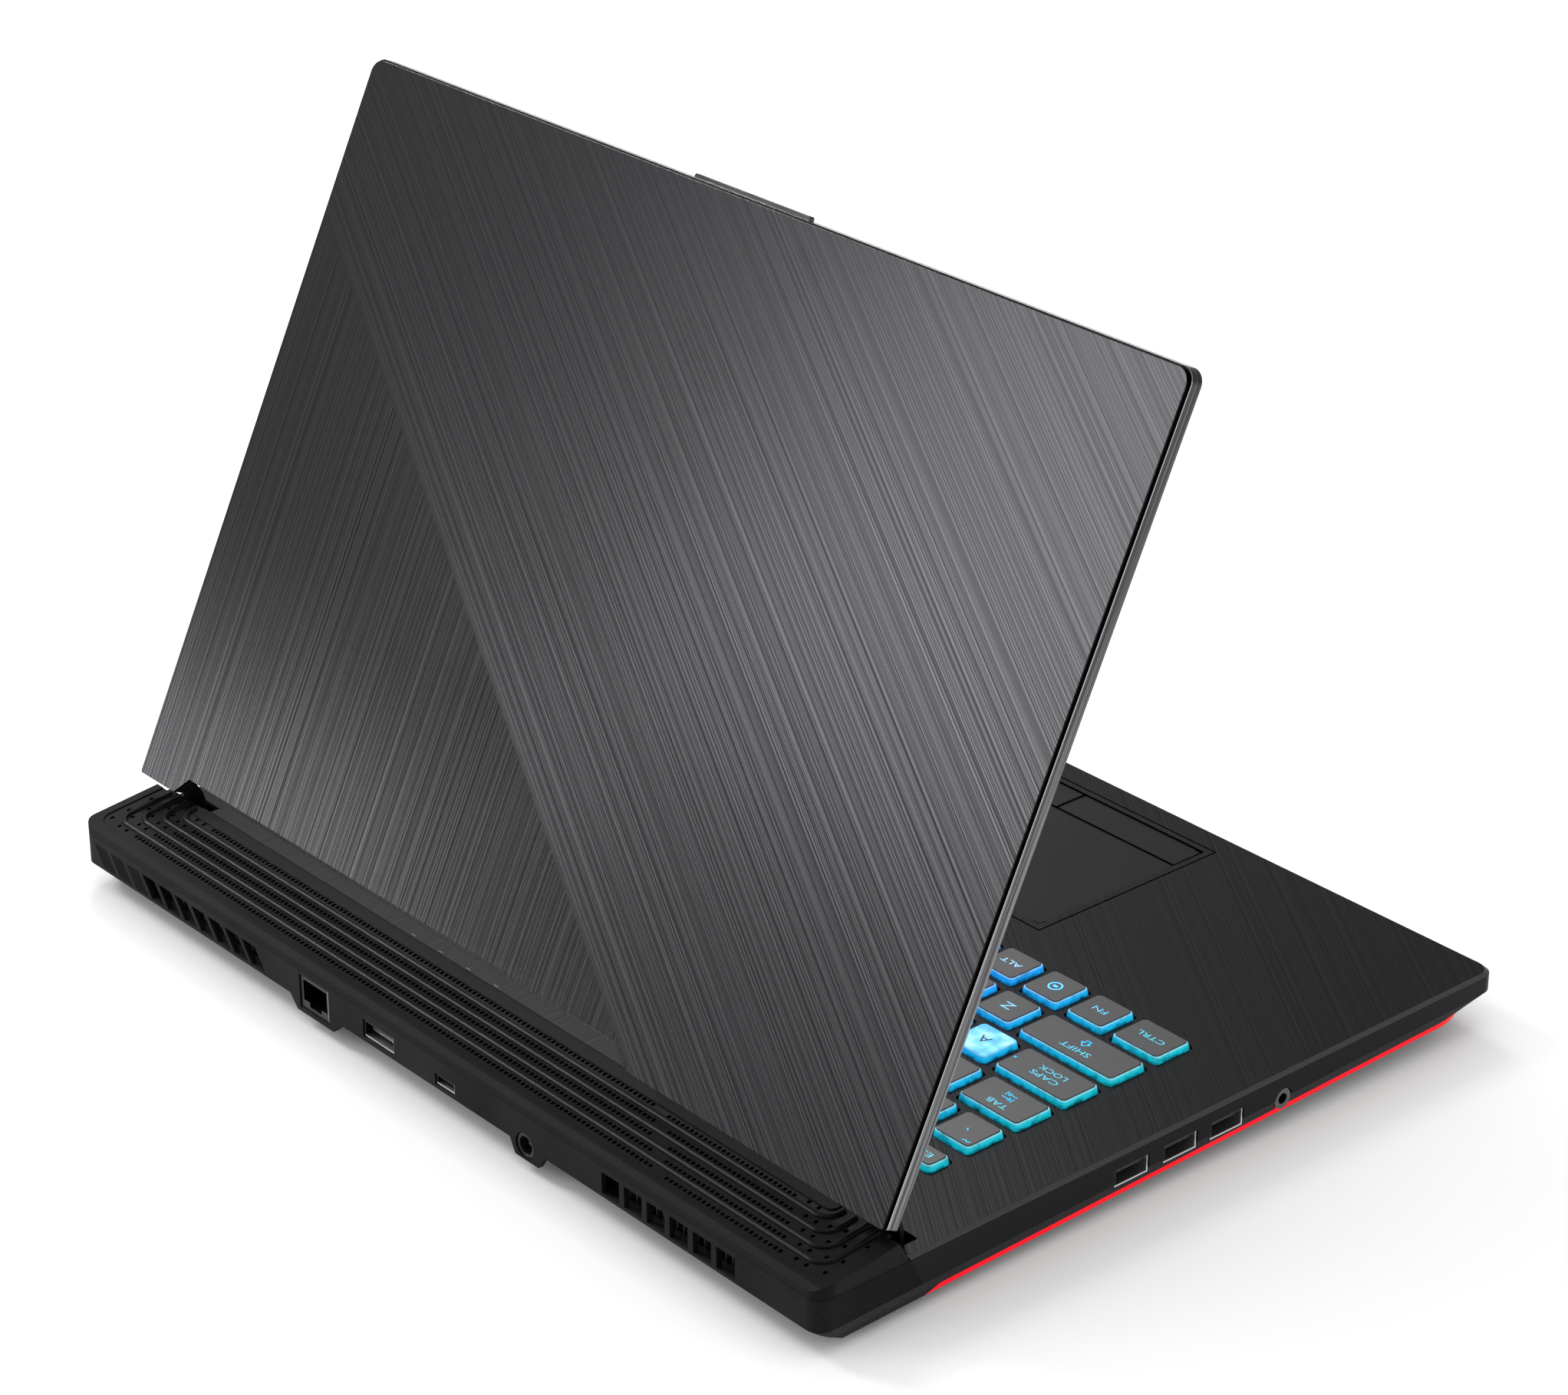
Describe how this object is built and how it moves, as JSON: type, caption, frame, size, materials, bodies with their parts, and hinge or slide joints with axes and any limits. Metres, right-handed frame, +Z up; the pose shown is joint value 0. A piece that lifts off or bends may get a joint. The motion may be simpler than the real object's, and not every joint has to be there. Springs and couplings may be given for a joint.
{
  "type": "laptop computer",
  "caption": "Gaming laptop with a brushed lid on drop hinges, lit keyboard, touchpad, red light bar, ribbed rear grille and exhaust bars.",
  "frame": {"origin": "middle of the bounding box's footprint, on the table under the feet", "axes": "+X to the user's right along the width, -Y towards the user, +Z up"},
  "size_m": [0.3606, 0.273, 0.2513],
  "materials": {
    "brushed_lid": "brushed, dark anodised look",
    "brushed_deck": "brushed, satin",
    "grained_black": "fine moulded grain",
    "black_cover": "matte",
    "red_diffuser": "lit translucent",
    "clear_pipe": "clear",
    "pressed_steel": "plain",
    "touch_surface": "satin",
    "socket_steel": "plated",
    "socket_black": "satin",
    "board_laminate": "lacquered laminate",
    "bare_aluminium": "satin",
    "heat_pipe_copper": "bare copper, tarnished",
    "soft_rubber": "matte",
    "black_bezel": "satin",
    "display_glass": "semi-gloss dark panel",
    "key_caps": "satin top, lit skirt",
    "lit_key": "lit translucent"
  },
  "bodies": {
    "base": {"palm_rest": "brushed_deck", "rear_hood": "grained_black", "rear_panel": "grained_black", "bottom_cover": "black_cover", "light_bar": "red_diffuser", "indicator_strip": "brushed_deck", "status_lights": "clear_pipe", "keyboard_plate": "pressed_steel", "touchpad": "touch_surface", "usb_sockets": "socket_steel", "audio_jack": "socket_black", "lan_socket": "socket_steel", "video_socket": "socket_steel", "small_data_socket": "socket_steel", "power_inlet": "socket_black", "main_board": "board_laminate", "fan_housing_right": "black_cover", "fan_housing_left": "black_cover", "fin_stacks": "bare_aluminium", "heat_pipe": "heat_pipe_copper", "heat_spreader": "bare_aluminium", "battery": "black_cover", "hard_drive": "bare_aluminium", "ssd_card": "board_laminate", "memory_modules": "board_laminate", "wireless_card": "board_laminate", "speakers": "black_cover", "hinge_bracket_right": "pressed_steel", "hinge_bracket_left": "pressed_steel", "rubber_feet": "soft_rubber", "bottom_screws": "pressed_steel"},
    "lid": {"lid_cover": "brushed_lid", "lid_bezel": "black_bezel", "display_panel": "display_glass", "bezel_bumpers": "soft_rubber", "hinge_arm_right": "grained_black", "hinge_arm_left": "grained_black"},
    "key_ctrl_body": {"key_ctrl": "key_caps"},
    "key_fn_body": {"key_fn": "key_caps"},
    "key_system_body": {"key_system": "key_caps"},
    "key_alt_body": {"key_alt": "key_caps"},
    "key_space_body": {"key_space": "key_caps"},
    "bottom_right_keys_body": {"bottom_right_keys": "key_caps"},
    "key_shift_body": {"key_shift": "key_caps"},
    "key_z_body": {"key_z": "key_caps"},
    "lower_letter_keys_body": {"lower_letter_keys": "key_caps"},
    "key_caps_lock_body": {"key_caps_lock": "key_caps"},
    "key_a_body": {"key_a": "lit_key"},
    "home_letter_keys_body": {"home_letter_keys": "key_caps"},
    "key_tab_body": {"key_tab": "key_caps"},
    "upper_letter_keys_body": {"upper_letter_keys": "key_caps"},
    "key_tilde_body": {"key_tilde": "key_caps"},
    "number_keys_body": {"number_keys": "key_caps"},
    "key_escape_body": {"key_escape": "key_caps"},
    "function_keys_body": {"function_keys": "key_caps"},
    "touchpad_button_left_body": {"touchpad_button_left": "touch_surface"},
    "touchpad_button_right_body": {"touchpad_button_right": "touch_surface"},
    "power_button_body": {"power_button": "brushed_deck"},
    "fan_rotor_right_body": {"fan_rotor_right": "black_cover"},
    "fan_rotor_left_body": {"fan_rotor_left": "black_cover"}
  },
  "joints": [
    {"name": "lid_hinge", "type": "hinge", "parent": "base", "child": "lid", "pos_m": [0, 0.1142, 0.0218], "axis": [-1, 0, 0], "range_deg": [-64.3, 60.7]},
    {"name": "key_ctrl_press", "type": "slide", "parent": "base", "child": "key_ctrl_body", "axis": [0, 0, -1], "range_m": [0, 0.0015], "stiffness_N_per_m": 400},
    {"name": "key_fn_press", "type": "slide", "parent": "base", "child": "key_fn_body", "axis": [0, 0, -1], "range_m": [0, 0.0015], "stiffness_N_per_m": 400},
    {"name": "key_system_press", "type": "slide", "parent": "base", "child": "key_system_body", "axis": [0, 0, -1], "range_m": [0, 0.0015], "stiffness_N_per_m": 400},
    {"name": "key_alt_press", "type": "slide", "parent": "base", "child": "key_alt_body", "axis": [0, 0, -1], "range_m": [0, 0.0015], "stiffness_N_per_m": 400},
    {"name": "key_space_press", "type": "slide", "parent": "base", "child": "key_space_body", "axis": [0, 0, -1], "range_m": [0, 0.0015], "stiffness_N_per_m": 400},
    {"name": "bottom_right_keys_press", "type": "slide", "parent": "base", "child": "bottom_right_keys_body", "axis": [0, 0, -1], "range_m": [0, 0.0015], "stiffness_N_per_m": 2000},
    {"name": "key_shift_press", "type": "slide", "parent": "base", "child": "key_shift_body", "axis": [0, 0, -1], "range_m": [0, 0.0015], "stiffness_N_per_m": 400},
    {"name": "key_z_press", "type": "slide", "parent": "base", "child": "key_z_body", "axis": [0, 0, -1], "range_m": [0, 0.0015], "stiffness_N_per_m": 400},
    {"name": "lower_letter_keys_press", "type": "slide", "parent": "base", "child": "lower_letter_keys_body", "axis": [0, 0, -1], "range_m": [0, 0.0015], "stiffness_N_per_m": 4800},
    {"name": "key_caps_lock_press", "type": "slide", "parent": "base", "child": "key_caps_lock_body", "axis": [0, 0, -1], "range_m": [0, 0.0015], "stiffness_N_per_m": 400},
    {"name": "key_a_press", "type": "slide", "parent": "base", "child": "key_a_body", "axis": [0, 0, -1], "range_m": [0, 0.0015], "stiffness_N_per_m": 400},
    {"name": "home_letter_keys_press", "type": "slide", "parent": "base", "child": "home_letter_keys_body", "axis": [0, 0, -1], "range_m": [0, 0.0015], "stiffness_N_per_m": 4800},
    {"name": "key_tab_press", "type": "slide", "parent": "base", "child": "key_tab_body", "axis": [0, 0, -1], "range_m": [0, 0.0015], "stiffness_N_per_m": 400},
    {"name": "upper_letter_keys_press", "type": "slide", "parent": "base", "child": "upper_letter_keys_body", "axis": [0, 0, -1], "range_m": [0, 0.0015], "stiffness_N_per_m": 5600},
    {"name": "key_tilde_press", "type": "slide", "parent": "base", "child": "key_tilde_body", "axis": [0, 0, -1], "range_m": [0, 0.0015], "stiffness_N_per_m": 400},
    {"name": "number_keys_press", "type": "slide", "parent": "base", "child": "number_keys_body", "axis": [0, 0, -1], "range_m": [0, 0.0015], "stiffness_N_per_m": 5600},
    {"name": "key_escape_press", "type": "slide", "parent": "base", "child": "key_escape_body", "axis": [0, 0, -1], "range_m": [0, 0.0015], "stiffness_N_per_m": 400},
    {"name": "function_keys_press", "type": "slide", "parent": "base", "child": "function_keys_body", "axis": [0, 0, -1], "range_m": [0, 0.0015], "stiffness_N_per_m": 6000},
    {"name": "touchpad_button_left_press", "type": "slide", "parent": "base", "child": "touchpad_button_left_body", "axis": [0, 0, -1], "range_m": [0, 0.0005], "stiffness_N_per_m": 600},
    {"name": "touchpad_button_right_press", "type": "slide", "parent": "base", "child": "touchpad_button_right_body", "axis": [0, 0, -1], "range_m": [0, 0.0005], "stiffness_N_per_m": 600},
    {"name": "power_button_press", "type": "slide", "parent": "base", "child": "power_button_body", "axis": [0, 0, -1], "range_m": [0, 0.0005], "stiffness_N_per_m": 600},
    {"name": "fan_rotor_right_spin", "type": "hinge", "parent": "base", "child": "fan_rotor_right_body", "pos_m": [0.106, 0.088, 0.009], "axis": [0, 0, 1], "continuous": true},
    {"name": "fan_rotor_left_spin", "type": "hinge", "parent": "base", "child": "fan_rotor_left_body", "pos_m": [-0.106, 0.088, 0.009], "axis": [0, 0, 1], "continuous": true}
  ]
}
